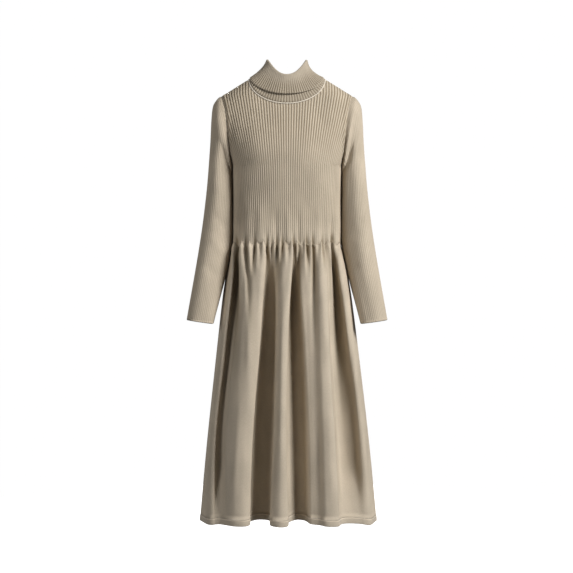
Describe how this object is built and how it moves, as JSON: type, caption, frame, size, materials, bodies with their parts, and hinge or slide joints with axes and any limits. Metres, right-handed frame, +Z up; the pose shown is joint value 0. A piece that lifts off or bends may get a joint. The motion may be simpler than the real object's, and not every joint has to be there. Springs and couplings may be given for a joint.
{
  "type": "sweater dress",
  "caption": "Long-sleeved knitted dress: ribbed bodice and sleeves, doubled-over collar, gathered plain-knit skirt to mid-calf, hollow as worn.",
  "frame": {"origin": "middle of the neck opening, level with the neck ends of the shoulder seams, where the wearer holds the dress up", "axes": "+Z up along the body, +X to the right of someone who faces the dress, and the front faces -Y"},
  "size_m": [0.4966, 0.2463, 1.1543],
  "materials": {
    "rib_knit": "fine ribbed wool-blend knit, matt, warm beige",
    "collar_knit": "fine ribbed knit, doubled over, matt, warm beige",
    "plain_knit": "fine plain jersey knit, matt with a faint bloom, warm beige",
    "hem_knit": "turned-up plain knit hem, matt, warm beige",
    "linked_seam": "linked knit seam band, matt, warm beige"
  },
  "bodies": {
    "root": {"bodice_front": "rib_knit", "bodice_back": "rib_knit", "sleeve_left": "rib_knit", "sleeve_right": "rib_knit", "neck_seam": "linked_seam", "collar": "collar_knit", "skirt_front": "plain_knit", "skirt_back": "plain_knit", "hem_front": "hem_knit", "hem_back": "hem_knit"}
  },
  "joints": []
}
